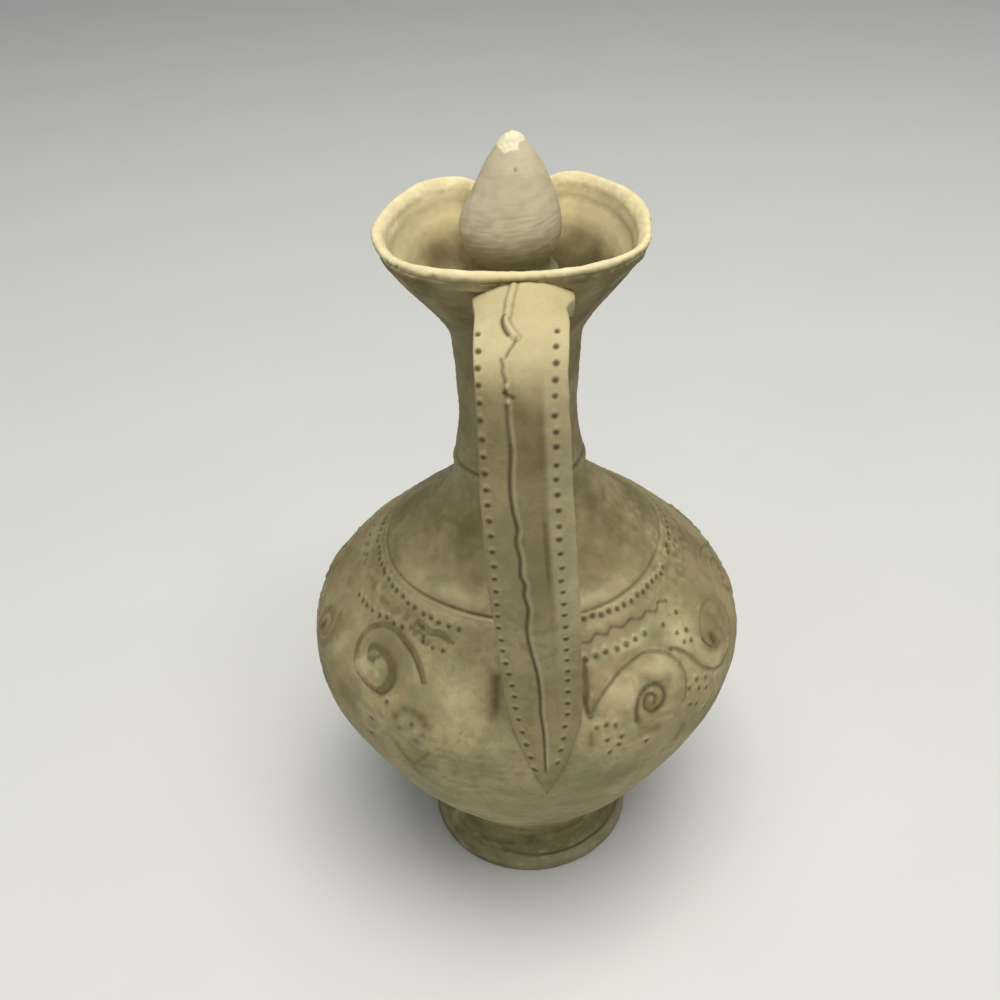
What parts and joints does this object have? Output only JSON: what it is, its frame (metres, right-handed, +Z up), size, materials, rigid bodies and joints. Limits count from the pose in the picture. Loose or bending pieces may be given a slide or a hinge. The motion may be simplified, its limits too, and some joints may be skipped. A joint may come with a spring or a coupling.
{
  "type": "oinochoe",
  "caption": "Wheel-made clay wine jug with a pinched mouth, strap handle, ring foot and applied bead and scroll ornament, closed by a loose egg-shaped stopper.",
  "frame": {"origin": "centre of the standing ring, on the surface that the jug stands on", "axes": "+Z up along the turning axis, +Y towards the pouring spout, handle on the -Y side"},
  "size_m": [0.1572, 0.1601, 0.2857],
  "materials": {
    "jug_clay": "matt buff clay, weathered, with brown deposits",
    "stopper_clay": "matt pale grey clay with turning scratches"
  },
  "bodies": {
    "root": {"jug": "jug_clay", "stopper": "stopper_clay"}
  },
  "joints": []
}
